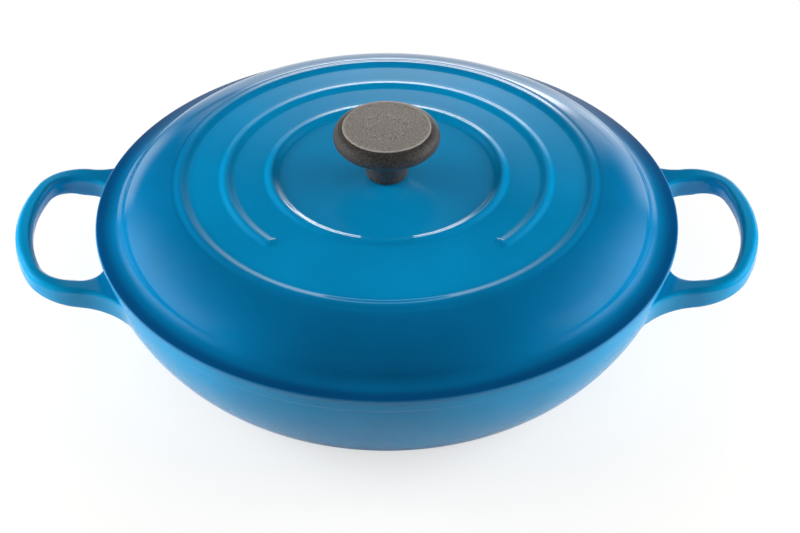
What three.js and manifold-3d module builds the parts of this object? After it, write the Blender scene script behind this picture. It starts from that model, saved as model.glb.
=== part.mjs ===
// Low casserole: an enamelled cast-iron bowl with two loop handles cast in one with it, a domed lid with
// raised rings that sits on the bowl's rim, and a moulded knob held by one screw from under the lid.
// Millimetres, +Z up. The origin is the middle of the base, and the handles point along X.
import * as THREE from "three";
import { mergeVertices } from "three/addons/utils/BufferGeometryUtils.js";
import Module from "manifold-3d";

// Bowl
const POT_HEIGHT = 66.8;
const POT_WALL = 3.8;
const WALL_RADIUS = 152.8;
const BASE_RADIUS = 99.6;
const BASE_THICKNESS = 4.6;
const WALL_UPRIGHT_LEAD = 17.4;
const WALL_BASE_LEAD = 27;
const RIM_BAND_HEIGHT = 4.8;
const RIM_BAND_STEP = 0.8;
const RIM_ROUND = 1;

// Loop handles, drawn in plan between an outer and an inner outline of tangent arcs
const HANDLE_REACH = 46.2;
const HANDLE_HALF_LENGTH = 55.5;
const HANDLE_BAR = 9.6;
const HANDLE_ARM = 11;
const ARM_THICKNESS = 13.8;
const TIP_THICKNESS = 9.8;
const HANDLE_DROP = 6.8;
const HANDLE_RISE = 5;
const OUTER_ROOT_RADIUS = 28;
const OUTER_ARM_STRAIGHT = 4.8;
const OUTER_END_RADIUS = 92;
const INNER_ROOT_RADIUS = 13.3;
const INNER_ARM_STRAIGHT = 6;
const INNER_END_RADIUS = 96;
const UNDER_ROOT_RADIUS = 5;
const EDGE_AT_ROOT = 1.6;
const EDGE_AT_TIP = 4.2;
const MOST_EDGE = 0.46;
const ROOT_OVERLAP = 1;
const ROOT_SINK = 14;

// Lid, with heights above the face that rests on the rim
const FLANGE_RADIUS = 155.5;
const FLANGE_EDGE = 2.8;
const FLANGE_ROUND = 1.2;
const FLANGE_SLOPE = 0.9;
const FLANGE_INNER_RADIUS = 149;
const COVE_RISE = 4.5;
const COVE_LEAD = 3.2;
const DOME_RADIUS = 141.8;
const DOME_LEAD = 9;
const DOME_LEAN = 0.31;
const SHOULDER_RADIUS = 113.6;
const SHOULDER_LIFT = 0.6;
const SHOULDER_LEAD = 14.3;
const SHOULDER_SLOPE = 0.214;
const CROWN_HEIGHT = 33.1;
const CROWN_RADIUS = 1000;
const LID_WALL = 3.6;
const LIP_DEPTH = 2.6;
const LIP_THICKNESS = 4;
const LIP_CLEARANCE = 1.2;
const LUG_COUNT = 3;
const LUG_DEPTH = 3;
const LUG_WIDTH = 16;
const LUG_INSET = 0.5;

// Raised rings on the lid; the middle one is open towards the front
const OUTER_RING_RADIUS = 108.8;
const MIDDLE_RING_RADIUS = 84.6;
const INNER_RING_RADIUS = 60.5;
const RING_WIDTH = 9.6;
const RING_TOP = 5.8;
const RING_HEIGHT = 1.75;
const RING_SINK = 1.5;
const RING_GAP_HALF_ANGLE = 0.8;
const DISH_DEPTH = 0.8;

// Knob and its fastening
const KNOB_HEIGHT = 30.4;
const KNOB_RADIUS = 28.2;
const KNOB_TOP_RADIUS = 22.9;
const KNOB_BEVEL = 7.1;
const KNOB_CROWN = 0.4;
const STEM_RADIUS = 11;
const STEM_TAPER = 0.9;
const STEM_HEIGHT = 9;
const INSERT_RADIUS = 5.6;
const INSERT_LENGTH = 16;
const INSERT_CHAMFER = 0.6;
const SCREW_RADIUS = 3;
const SCREW_REACH = 13;
const SCREW_CHAMFER = 0.8;
const SCREW_HEAD_RADIUS = 5.75;
const SCREW_HEAD_HEIGHT = 3.4;
const SCREW_HOLE_CLEARANCE = 0.6;
const WASHER_RADIUS = 7.2;
const WASHER_THICKNESS = 1.2;
const WASHER_SEAT_MARGIN = 2;

// Gap between pieces that seat on each other, and the fineness of round shapes
const SEAT_GAP = 0.3;
const TURN_STEPS = 56;
const SMALL_TURN_STEPS = 28;
const CURVE_STEPS = 8;
const INSIDE_STEPS = 5;
const FLANK_STEPS = 3;
const ARC_STEPS = 3;
const LOOP_STEPS = 34;
const RING_STEPS = 44;

const QUARTER = Math.PI / 2;
const v2 = (x, y) => new THREE.Vector2(x, y);
const wasm = await Module();
wasm.setup();

// A geometry as a solid that can be joined and cut.
function solidOf(geometry) {
  const bare = new THREE.BufferGeometry();
  bare.setAttribute("position", geometry.getAttribute("position"));
  bare.setIndex(geometry.getIndex());
  const merged = mergeVertices(bare, 1e-4);
  const vertProperties = merged.getAttribute("position").array;
  const triVerts = new Uint32Array(merged.getIndex().array);
  return new wasm.Manifold(new wasm.Mesh({ numProp: 3, vertProperties, triVerts }));
}

// A joined or cut solid as a geometry.
function geometryOf(solid) {
  const made = solid.getMesh();
  const geometry = new THREE.BufferGeometry();
  geometry.setAttribute("position", new THREE.BufferAttribute(made.vertProperties, made.numProp));
  geometry.setIndex(new THREE.BufferAttribute(made.triVerts, 1));
  geometry.computeVertexNormals();
  return geometry;
}

// A profile of (radius, height) points turned about Z, listed with the solid on its left.
function turned(profile, steps = TURN_STEPS) {
  return new THREE.LatheGeometry(profile, steps).rotateX(QUARTER);
}

// A profile that closes on itself, for a piece with a hole along its axis.
function turnedRing(profile, steps = TURN_STEPS) {
  return turned([...profile, profile[0]], steps);
}

// Points along an arc of a profile.
function arc(x, y, radius, from, to, steps = ARC_STEPS) {
  return new THREE.EllipseCurve(x, y, radius, radius, from, to, to < from).getPoints(steps);
}

// Points along a curve that leaves its start along one lead and comes in to its end from another.
function lead(start, startLead, endLead, end, steps = CURVE_STEPS) {
  const first = start.clone().add(startLead);
  const last = end.clone().add(endLead);
  return new THREE.CubicBezierCurve(start, first, last, end).getPoints(steps);
}

// A closed skin over a row of closed sections with equal counts of points, capped at both ends.
function loft(sections) {
  const count = sections[0].length;
  const points = sections.flat();
  const faces = [];
  for (let s = 0; s + 1 < sections.length; s++) {
    for (let i = 0; i < count; i++) {
      const a = s * count + i;
      const b = s * count + ((i + 1) % count);
      faces.push(a, b + count, b, a, a + count, b + count);
    }
  }
  const last = points.length - count;
  for (let i = 1; i + 1 < count; i++) {
    faces.push(0, i, i + 1);
    faces.push(last, last + i + 1, last + i);
  }
  return new THREE.BufferGeometry().setFromPoints(points).setIndex(faces);
}

// How far a fillet stands out from its straight side, at a distance from the wall that it runs into.
function filletDepth(radius, distance) {
  const left = THREE.MathUtils.clamp(radius - distance, 0, radius);
  return radius - Math.sqrt(radius ** 2 - left ** 2);
}

const bandFoot = POT_HEIGHT - RIM_BAND_HEIGHT;

// Points up the outside of the bowl's wall, from the edge of the base to the foot of the rim's band.
function bowlWall() {
  const wallTop = v2(WALL_RADIUS, bandFoot - RIM_BAND_STEP);
  return lead(v2(BASE_RADIUS, 0), v2(WALL_BASE_LEAD, 0), v2(0, -WALL_UPRIGHT_LEAD), wallTop);
}

// Radius of the bowl's outside at a height.
function wallRadiusAt(height) {
  const wall = bowlWall();
  const above = wall.findIndex((point) => point.y > height);
  if (above < 1) {
    return WALL_RADIUS;
  }
  const low = wall[above - 1];
  const high = wall[above];
  return THREE.MathUtils.mapLinear(height, low.y, high.y, low.x, high.x);
}

// Outside of the bowl as a full solid, up to the top of the rim.
function bowlOutside() {
  const bandRadius = WALL_RADIUS + RIM_BAND_STEP;
  const band = arc(WALL_RADIUS, bandFoot, RIM_BAND_STEP, -QUARTER, 0);
  const rim = arc(bandRadius - RIM_ROUND, POT_HEIGHT - RIM_ROUND, RIM_ROUND, 0, QUARTER);
  return turned([v2(0, 0), ...bowlWall(), ...band.slice(1), ...rim, v2(0, POT_HEIGHT)]);
}

// Hollow of the bowl, a wall's thickness inside it and open past the rim.
function bowlHollow() {
  const radius = WALL_RADIUS - POT_WALL;
  const mouthRadius = radius + RIM_ROUND;
  const open = POT_HEIGHT + POT_WALL;
  const floorEdge = v2(BASE_RADIUS - POT_WALL, BASE_THICKNESS);
  const wallTop = v2(radius, bandFoot - RIM_BAND_STEP);
  const wall = lead(floorEdge, v2(WALL_BASE_LEAD, 0), v2(0, -WALL_UPRIGHT_LEAD), wallTop, INSIDE_STEPS);
  const mouth = arc(mouthRadius, POT_HEIGHT - RIM_ROUND, RIM_ROUND, Math.PI, QUARTER);
  return turned([v2(0, BASE_THICKNESS), ...wall, ...mouth, v2(mouthRadius, open), v2(0, open)]);
}

// One plan outline of a loop handle: a root arc that leaves the rim along it, a straight arm, a corner
// arc, a flat end arc, and the same back again. The corner arc is the one that is tangent to the arm and
// to the end. With flare 1 the root arc spreads away from the loop's middle, with -1 towards it.
function loopOutline({ tip, half, root, straight, end, flare }) {
  const rim = WALL_RADIUS - ROOT_OVERLAP;
  const rootY = half + flare * root;
  const rootX = Math.sqrt((rim + root) ** 2 - rootY ** 2);
  const armX = rootX + straight;
  const endX = tip - end;
  const corner = (end ** 2 - half ** 2 - (armX - endX) ** 2) / (2 * (end - half));
  const cornerY = half - corner;
  const rimAngle = Math.PI + Math.atan2(rootY, rootX);
  const armAngle = Math.PI + flare * QUARTER;
  const endAngle = Math.atan2(cornerY, armX - endX);
  const path = new THREE.Path();
  path.absarc(rootX, rootY, root, rimAngle, armAngle, flare < 0);
  path.absarc(armX, cornerY, corner, QUARTER, endAngle, true);
  path.absarc(endX, 0, end, endAngle, -endAngle, true);
  path.absarc(armX, -cornerY, corner, -endAngle, -QUARTER, true);
  path.absarc(rootX, -rootY, root, -armAngle, -rimAngle, flare < 0);
  return path.getSpacedPoints(LOOP_STEPS);
}

// A rectangle with rounded edges that stands on the line between two plan points. Edges that don't fit
// are limited to a little under half of the rectangle.
function barSection(inner, outer, bottom, top, topEdge, bottomEdge) {
  const width = inner.distanceTo(outer);
  const most = Math.min(width, top - bottom) * MOST_EDGE;
  const upper = Math.min(topEdge, most);
  const lower = Math.min(bottomEdge, most);
  const corners = [
    arc(width - upper, top - upper, upper, 0, QUARTER),
    arc(upper, top - upper, upper, QUARTER, 2 * QUARTER),
    arc(lower, bottom + lower, lower, 2 * QUARTER, 3 * QUARTER),
    arc(width - lower, bottom + lower, lower, 3 * QUARTER, 4 * QUARTER),
  ];
  return corners.flat().reverse().map((point) => {
    const plan = inner.clone().lerp(outer, point.x / width);
    return new THREE.Vector3(plan.x, plan.y, point.y);
  });
}

// The loop handle on the +X side: bar sections between the two outlines, which rise towards the tip,
// round off from crisp roots to a soft grip, and lean after the bowl's wall and deepen at the roots.
function loopHandle() {
  const tip = WALL_RADIUS + HANDLE_REACH;
  const outer = loopOutline({
    tip,
    half: HANDLE_HALF_LENGTH,
    root: OUTER_ROOT_RADIUS,
    straight: OUTER_ARM_STRAIGHT,
    end: OUTER_END_RADIUS,
    flare: 1,
  });
  const inner = loopOutline({
    tip: tip - HANDLE_BAR,
    half: HANDLE_HALF_LENGTH - HANDLE_ARM,
    root: INNER_ROOT_RADIUS,
    straight: INNER_ARM_STRAIGHT,
    end: INNER_END_RADIUS,
    flare: -1,
  });
  const section = (from, to, sink) => {
    const distance = from.clone().lerp(to, 0.5).length() - WALL_RADIUS;
    const out = THREE.MathUtils.clamp(distance / HANDLE_REACH, 0, 1);
    const deepen = filletDepth(UNDER_ROOT_RADIUS, distance);
    const top = POT_HEIGHT - HANDLE_DROP + HANDLE_RISE * out;
    const bottom = top - THREE.MathUtils.lerp(ARM_THICKNESS, TIP_THICKNESS, out) - deepen;
    const edge = THREE.MathUtils.lerp(EDGE_AT_ROOT, EDGE_AT_TIP, out);
    return barSection(from, to, bottom, top, edge, edge + deepen).map((point) => {
      const lean = THREE.MathUtils.lerp(wallRadiusAt(point.z), WALL_RADIUS, out);
      const inwards = (lean - sink) / WALL_RADIUS;
      return new THREE.Vector3(point.x * inwards, point.y * inwards, point.z);
    });
  };
  const sections = inner.map((point, i) => section(point, outer[i], 0));
  sections.unshift(section(inner[0], outer[0], ROOT_SINK));
  sections.push(section(inner.at(-1), outer.at(-1), ROOT_SINK));
  return loft(sections);
}

// The bowl's casting: the outside with both handles, less the hollow.
function potCasting() {
  const right = solidOf(loopHandle());
  const left = solidOf(loopHandle().rotateZ(Math.PI));
  return geometryOf(solidOf(bowlOutside()).add(right).add(left).subtract(solidOf(bowlHollow())));
}

// Height of the lid's gently domed crown, and of the dish inside the inner ring.
const crown = (radius) => CROWN_HEIGHT - radius ** 2 / (2 * CROWN_RADIUS);
const dishHeight = crown(INNER_RING_RADIUS) - DISH_DEPTH;
const undersideHeight = dishHeight - LID_WALL;
const holeRadius = SCREW_RADIUS + SCREW_HOLE_CLEARANCE;

// Profile across a raised ring, from its outer foot over the top to its inner foot.
function ringProfile(radius, outerFoot, innerFoot) {
  const top = crown(radius) + RING_HEIGHT;
  const reach = v2((RING_WIDTH - RING_TOP) / 4, 0);
  const back = reach.clone().negate();
  const outerEdge = v2(radius + RING_TOP / 2, top);
  const innerEdge = v2(radius - RING_TOP / 2, top);
  const outerFlank = lead(v2(radius + RING_WIDTH / 2, outerFoot), back, reach, outerEdge, FLANK_STEPS);
  const innerFlank = lead(innerEdge, back, reach, v2(radius - RING_WIDTH / 2, innerFoot), FLANK_STEPS);
  return [...outerFlank, ...innerFlank];
}

// The lid as it is turned: underside, lip, seat, flange, dome, two whole rings and dish.
function lidTurned() {
  const lipRadius = WALL_RADIUS - POT_WALL - LIP_CLEARANCE;
  const domeFoot = FLANGE_EDGE + FLANGE_SLOPE + COVE_RISE;
  const shoulder = v2(SHOULDER_RADIUS, crown(SHOULDER_RADIUS) + SHOULDER_LIFT);
  const slope = v2(Math.cos(SHOULDER_SLOPE), -Math.sin(SHOULDER_SLOPE)).multiplyScalar(SHOULDER_LEAD);
  const lean = v2(-Math.sin(DOME_LEAN), Math.cos(DOME_LEAN));
  const rise = lean.clone().multiplyScalar(DOME_LEAD);
  const innerShoulder = shoulder.clone().sub(v2(LID_WALL * SHOULDER_SLOPE, LID_WALL));
  const innerFoot = v2(DOME_RADIUS - LID_WALL, domeFoot);
  const lipEdge = v2(lipRadius - LIP_THICKNESS, -LIP_DEPTH);
  const washerSeat = v2(WASHER_RADIUS + WASHER_SEAT_MARGIN, undersideHeight);
  const ceiling = v2(innerShoulder.x / 3, 0);
  const lipRise = v2(0, LIP_THICKNESS);
  const underside = [
    v2(holeRadius, undersideHeight),
    ...lead(washerSeat, ceiling, slope.clone().negate(), innerShoulder, INSIDE_STEPS),
    ...lead(innerShoulder, slope.clone().multiplyScalar(0.8), rise, innerFoot, INSIDE_STEPS).slice(1),
    ...lead(innerFoot, lipRise.clone().negate(), lipRise, lipEdge, FLANK_STEPS).slice(1),
    v2(lipRadius - RIM_ROUND, -LIP_DEPTH),
    v2(lipRadius, RIM_ROUND - LIP_DEPTH),
    v2(lipRadius, 0),
  ];
  const flangeTop = FLANGE_EDGE - FLANGE_ROUND;
  const flangeEnd = v2(FLANGE_INNER_RADIUS, FLANGE_EDGE + FLANGE_SLOPE);
  const coveStart = v2((DOME_RADIUS - FLANGE_INNER_RADIUS) / 2, 0);
  const coveEnd = lean.clone().multiplyScalar(-COVE_LEAD);
  const outerFoot = v2(DOME_RADIUS, domeFoot);
  const flange = [
    ...arc(FLANGE_RADIUS - FLANGE_ROUND, FLANGE_ROUND, FLANGE_ROUND, -QUARTER, 0),
    ...arc(FLANGE_RADIUS - FLANGE_ROUND, flangeTop, FLANGE_ROUND, 0, QUARTER),
    ...lead(flangeEnd, coveStart, coveEnd, outerFoot, FLANK_STEPS),
  ];
  const dome = lead(outerFoot, rise, slope, shoulder).slice(1);
  const outerRing = ringProfile(OUTER_RING_RADIUS, shoulder.y, crown(OUTER_RING_RADIUS - RING_WIDTH / 2));
  const innerRing = ringProfile(INNER_RING_RADIUS, crown(INNER_RING_RADIUS + RING_WIDTH / 2), dishHeight);
  const middle = v2(MIDDLE_RING_RADIUS, crown(MIDDLE_RING_RADIUS));
  const top = [...dome, ...outerRing.slice(1), middle, ...innerRing, v2(holeRadius, dishHeight)];
  return turnedRing([...underside, ...flange, ...top]);
}

// The middle ring: the ring's section carried round an arc that stops short of the front, with round ends.
function openRing() {
  const half = RING_WIDTH / 2;
  const start = RING_GAP_HALF_ANGLE - QUARTER;
  const sweep = 2 * (Math.PI - RING_GAP_HALF_ANGLE);
  const endAngle = half / MIDDLE_RING_RADIUS;
  const base = crown(MIDDLE_RING_RADIUS);
  const section = (angle, scale) => {
    const foot = v2(half * scale, -RING_SINK);
    const edge = v2((RING_TOP / 2) * scale, RING_HEIGHT * Math.sqrt(scale));
    const reach = v2((edge.x - foot.x) / 2, 0);
    const flank = lead(v2(half * scale, 0), reach, reach.clone().negate(), edge, FLANK_STEPS);
    const side = [foot, ...flank];
    const outline = [...side, ...side.toReversed().map((point) => v2(-point.x, point.y))];
    return outline.map((point) => {
      const radius = MIDDLE_RING_RADIUS + point.x;
      const x = radius * Math.cos(angle);
      return new THREE.Vector3(x, radius * Math.sin(angle), base + point.y);
    });
  };
  const rounds = [0.2, 0.6, 1].map((share) => share * QUARTER);
  const ends = rounds.map((turn) => [endAngle * (1 - Math.cos(turn)), Math.sin(turn)]);
  const sections = ends.map(([inset, scale]) => section(start + inset, scale));
  for (let i = 1; i < RING_STEPS; i++) {
    sections.push(section(start + endAngle + ((sweep - 2 * endAngle) * i) / RING_STEPS, 1));
  }
  ends.toReversed().forEach(([inset, scale]) => sections.push(section(start + sweep - inset, scale)));
  return loft(sections);
}

// A lug under the lip, which keeps the lid from sliding about on the rim.
function lidLug() {
  const outside = WALL_RADIUS - POT_WALL - LIP_CLEARANCE - RIM_ROUND - LUG_INSET;
  const inside = outside - LIP_THICKNESS + RIM_ROUND + 2 * LUG_INSET;
  const halfAngle = LUG_WIDTH / 2 / outside;
  const shape = new THREE.Shape();
  shape.absarc(0, 0, outside, -halfAngle, halfAngle, false);
  shape.absarc(0, 0, inside, halfAngle, -halfAngle, true);
  const depth = LUG_DEPTH + LIP_DEPTH / 2;
  const plain = { depth, bevelEnabled: false, curveSegments: ARC_STEPS };
  return new THREE.ExtrudeGeometry(shape, plain).translate(0, 0, -LIP_DEPTH - LUG_DEPTH);
}

// The lid's casting: the turned lid with the open ring and the lugs.
function lidCasting() {
  let casting = solidOf(lidTurned()).add(solidOf(openRing()));
  for (let i = 0; i < LUG_COUNT; i++) {
    const lug = lidLug().rotateZ(QUARTER + (i * 2 * Math.PI) / LUG_COUNT);
    casting = casting.add(solidOf(lug));
  }
  return geometryOf(casting);
}

// The knob, from its stem up: a tapered stem, a mushroom head and a flat top with a crisp edge.
function knobMoulding() {
  const recessRadius = INSERT_RADIUS + SEAT_GAP;
  const recessHeight = INSERT_LENGTH + 2 * SEAT_GAP;
  const stemTop = v2(STEM_RADIUS + STEM_TAPER, STEM_HEIGHT);
  const equator = v2(KNOB_RADIUS, KNOB_HEIGHT - KNOB_BEVEL);
  const topEdge = v2(KNOB_TOP_RADIUS, KNOB_HEIGHT - KNOB_CROWN);
  const under = lead(stemTop, v2(STEM_TAPER, STEM_HEIGHT / 2), v2(0, -STEM_HEIGHT / 2), equator);
  const bevel = lead(equator, v2(0, KNOB_BEVEL / 2), v2(KNOB_BEVEL / 2, 0), topEdge, FLANK_STEPS);
  const recess = [v2(0, recessHeight), v2(recessRadius, recessHeight), v2(recessRadius, 0)];
  const head = [...under, ...bevel.slice(1), v2(0, KNOB_HEIGHT)];
  return turned([...recess, v2(STEM_RADIUS, 0), ...head], SMALL_TURN_STEPS);
}

// The threaded insert, a sleeve with chamfered ends.
function insertSleeve() {
  const bore = SCREW_RADIUS + SEAT_GAP;
  const neck = INSERT_RADIUS - INSERT_CHAMFER;
  const outside = [
    v2(neck, 0),
    v2(INSERT_RADIUS, INSERT_CHAMFER),
    v2(INSERT_RADIUS, INSERT_LENGTH - INSERT_CHAMFER),
    v2(neck, INSERT_LENGTH),
  ];
  return turnedRing([v2(bore, 0), ...outside, v2(bore, INSERT_LENGTH)], SMALL_TURN_STEPS);
}

// The pan-head screw, with its head's flat face at height 0 and its head below.
function panHeadScrew() {
  const shank = LID_WALL + WASHER_THICKNESS + 2 * SEAT_GAP + SCREW_REACH;
  const crest = v2(0, -SCREW_HEAD_HEIGHT);
  const rim = v2(SCREW_HEAD_RADIUS, -SCREW_HEAD_HEIGHT / 2);
  const pan = lead(crest, v2(SCREW_HEAD_RADIUS / 2, 0), v2(0, -SCREW_HEAD_HEIGHT / 2), rim, FLANK_STEPS);
  const point = v2(SCREW_RADIUS - SCREW_CHAMFER, shank);
  const tip = [v2(SCREW_RADIUS, shank - SCREW_CHAMFER), point, v2(0, shank)];
  return turned([...pan, v2(SCREW_HEAD_RADIUS, 0), v2(SCREW_RADIUS, 0), ...tip], SMALL_TURN_STEPS);
}

// The washer between the screw's head and the enamel.
function flatWasher() {
  const outer = [v2(WASHER_RADIUS, 0), v2(WASHER_RADIUS, WASHER_THICKNESS)];
  return turnedRing([v2(holeRadius, 0), ...outer, v2(holeRadius, WASHER_THICKNESS)], SMALL_TURN_STEPS);
}

const ENAMEL_COLOUR = 0x0a76ad;
const PHENOLIC_COLOUR = 0x4b4845;
const BRASS_COLOUR = 0xb08d4a;
const STAINLESS_COLOUR = 0xb9bcc0;

function finish(color, roughness, metalness) {
  return new THREE.MeshStandardMaterial({ color, roughness, metalness });
}

// A named piece at a height in its group.
function piece(name, geometry, material, height = 0) {
  const mesh = new THREE.Mesh(geometry, material);
  mesh.name = name;
  mesh.position.z = height;
  return mesh;
}

const washerHeight = undersideHeight - SEAT_GAP - WASHER_THICKNESS;
const knobHeight = dishHeight + SEAT_GAP;

const lidGroup = new THREE.Group();
lidGroup.position.z = POT_HEIGHT + SEAT_GAP;
lidGroup.add(
  piece("lid", lidCasting(), finish(ENAMEL_COLOUR, 0.15, 0)),
  piece("knob", knobMoulding(), finish(PHENOLIC_COLOUR, 0.6, 0), knobHeight),
  piece("knob_insert", insertSleeve(), finish(BRASS_COLOUR, 0.35, 1), knobHeight + SEAT_GAP),
  piece("knob_screw", panHeadScrew(), finish(STAINLESS_COLOUR, 0.3, 1), washerHeight - SEAT_GAP),
  piece("screw_washer", flatWasher(), finish(STAINLESS_COLOUR, 0.35, 1), washerHeight),
);

const casserole = new THREE.Group();
casserole.add(piece("pot", potCasting(), finish(ENAMEL_COLOUR, 0.15, 0)), lidGroup);

export default casserole;
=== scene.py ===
"""Looks of a low casserole: enamelled cast iron, a ringed lid and a moulded knob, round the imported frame.

Sizes are in millimetres, as the piece was drawn, and become metres where a mesh is made.
+Z is up, the handles point along X, and the front is towards -Y.
"""

import logging
import math
from dataclasses import dataclass, field
from enum import IntEnum

import bpy
import numpy as np
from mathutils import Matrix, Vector


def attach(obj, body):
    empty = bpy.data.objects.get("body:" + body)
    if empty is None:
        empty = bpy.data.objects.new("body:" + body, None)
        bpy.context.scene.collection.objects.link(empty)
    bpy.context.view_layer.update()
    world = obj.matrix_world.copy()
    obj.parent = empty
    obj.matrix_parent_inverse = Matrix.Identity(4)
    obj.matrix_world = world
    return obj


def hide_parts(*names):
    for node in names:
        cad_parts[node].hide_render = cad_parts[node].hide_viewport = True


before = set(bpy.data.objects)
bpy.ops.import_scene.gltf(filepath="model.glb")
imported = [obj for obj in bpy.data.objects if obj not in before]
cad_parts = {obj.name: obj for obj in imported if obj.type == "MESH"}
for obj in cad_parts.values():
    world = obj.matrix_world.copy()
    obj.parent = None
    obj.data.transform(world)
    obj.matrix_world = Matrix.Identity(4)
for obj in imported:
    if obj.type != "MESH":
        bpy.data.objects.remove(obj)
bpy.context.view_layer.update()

Array = np.ndarray
Socket = bpy.types.NodeSocket
log = logging.getLogger("casserole")

MM = 0.001
FINE_TURN = 20001  # angles over which a turn's density is summed
SAME_POINT = 1e-6
GLASS_IOR = 1.5
RESIN_IOR = 1.55
WAVE_FACTOR = 20.0  # a wave texture multiplies its scale by this
FRONT = math.radians(270.0)  # the direction of -Y
WHITE = (1.0, 1.0, 1.0, 1.0)


class CastingZone(IntEnum):
    """Finishes on the bowl's and the lid's castings, in the order of their material slots."""

    OUTSIDE = 0
    RIM = 1
    INSIDE = 2


class KnobZone(IntEnum):
    """Tones of the knob, in the order of its material slots: painted shade on the side, painted light on the
    top and a painted highlight on the raised edge.
    """

    SIDE = 0
    TOP = 1
    EDGE = 2


class Stretch(IntEnum):
    """Stretches of a loop handle's plan outline, from the bowl to the tip."""

    ROOT = 0
    ARM = 1
    CORNER = 2
    END = 3


def smooth(share: Array) -> Array:
    """Smooth step: 0 below 0, 1 above 1, and 3 t^2 - 2 t^3 between them.

    Args:
        share: Values along the step.

    Returns:
        The step's height at each value.
    """
    held = np.clip(share, 0.0, 1.0)
    return held * held * (3.0 - 2.0 * held)


def line(start: tuple[float, float], end: tuple[float, float], count: int, guard: float = 0.3) -> Array:
    """Straight run of profile points, with one more point close to each end to keep shading flat.

    On a short run the guards stand at a quarter of its length.

    Args:
        start: First (radius, height).
        end: Last (radius, height).
        count: Points before the two guards are added.
        guard: Distance of the guards from the ends.

    Returns:
        Points in order, one per row.
    """
    length = math.dist(start, end)
    held = min(guard, length / 4.0) / length
    shares = np.unique(np.concatenate([np.linspace(0.0, 1.0, count), [held, 1.0 - held]]))[:, None]
    return np.array(start) * (1.0 - shares) + np.array(end) * shares


def arc(centre: tuple[float, float], radius: float, start: float, end: float, count: int) -> Array:
    """Profile points round a centre, from one angle in degrees to another.

    Args:
        centre: The arc's (radius, height).
        radius: The arc's own radius.
        start: First angle.
        end: Last angle.
        count: Number of points.

    Returns:
        Points in order, one per row.
    """
    angles = np.radians(np.linspace(start, end, count))
    return np.column_stack([centre[0] + radius * np.cos(angles), centre[1] + radius * np.sin(angles)])


def curve(
    start: tuple[float, float],
    start_lead: tuple[float, float],
    end_lead: tuple[float, float],
    end: tuple[float, float],
    count: int,
) -> Array:
    """Cubic that leaves its start along one lead and comes in to its end from another.

    Args:
        start: First (radius, height).
        start_lead: From the start to the first control point.
        end_lead: From the end to the last control point.
        end: Last (radius, height).
        count: Number of points.

    Returns:
        Points in order, one per row.
    """
    share = np.linspace(0.0, 1.0, count)[:, None]
    rest = 1.0 - share
    first = np.add(start, start_lead)
    last = np.add(end, end_lead)
    ends = rest**3 * np.array(start) + share**3 * np.array(end)
    return ends + 3.0 * rest**2 * share * first + 3.0 * rest * share**2 * last


@dataclass
class Profile:
    """A run of (radius, height) points, with the finish of each stretch between two points."""

    points: Array = field(default_factory=lambda: np.zeros((0, 2)))
    zones: Array = field(default_factory=lambda: np.zeros(0, int))

    @property
    def end(self) -> tuple[float, float]:
        """The last point so far."""
        return self.points[-1, 0], self.points[-1, 1]

    def run(self, points: Array, zone: int = 0) -> None:
        """Adds a stretch. Its first point is dropped where the profile already ends there.

        Args:
            points: The stretch's points.
            zone: The finish of the stretch.
        """
        if len(self.points) and np.allclose(self.points[-1], points[0], atol=SAME_POINT):
            points = points[1:]
        steps = len(points) if len(self.points) else len(points) - 1
        self.points = np.vstack([self.points, points])
        self.zones = np.concatenate([self.zones, np.full(steps, int(zone))])

    def straight(self, stops: list[tuple[float, float]], counts: tuple[int, ...], zone: int = 0) -> None:
        """Adds straight runs from stop to stop.

        Args:
            stops: The (radius, height) of every corner.
            counts: Points along each run.
            zone: The finish of the runs.
        """
        for start, end, count in zip(stops, stops[1:], counts):
            self.run(line(start, end, count), zone)

    def close(self) -> None:
        """Drops the last point of a closed outline, which repeats the first."""
        self.points = self.points[:-1]

    def turned(self, angles: Array, lift: float = 0.0) -> Array:
        """Grid of points round Z: each angle carries the whole profile.

        Args:
            angles: Angles in radians, without the last one that closes the turn.
            lift: Height at which the profile's zero stands.

        Returns:
            Array of angle by point by (x, y, z).
        """
        radius, height = self.points[:, 0], self.points[:, 1] + lift
        across = np.cos(angles)[:, None] * radius
        along = np.sin(angles)[:, None] * radius
        return np.stack([across, along, np.broadcast_to(height, across.shape)], axis=2)


def turn_angles(count: int, centres: tuple[float, ...] = (), spread: float = 0.06, gain: float = 6.0) -> Array:
    """Angles of a full turn, closer together round some centres.

    The spacing is the inverse of a density of 1 plus a bell of the given height at each centre.

    Args:
        count: Number of angles.
        centres: Angles in radians that need finer steps.
        spread: Half width of each bell in radians.
        gain: Height of each bell.

    Returns:
        Angles in rising order, without the one that closes the turn.
    """
    fine = np.linspace(0.0, math.tau, FINE_TURN)
    density = np.ones_like(fine)
    for centre in centres:
        away = (fine - centre + math.pi) % math.tau - math.pi
        density += gain * np.exp(-((away / spread) ** 2))
    total = np.concatenate([[0.0], np.cumsum((density[1:] + density[:-1]) / 2.0)])
    return np.interp(np.arange(count) / count * total[-1], total, fine)


def add_object(name: str, data: bpy.types.ID) -> bpy.types.Object:
    """A new object at the origin, linked to the scene.

    Args:
        name: The object's name.
        data: Its mesh, camera or light.

    Returns:
        The new object.
    """
    made = bpy.data.objects.new(name, data)
    bpy.context.scene.collection.objects.link(made)
    return made


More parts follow.
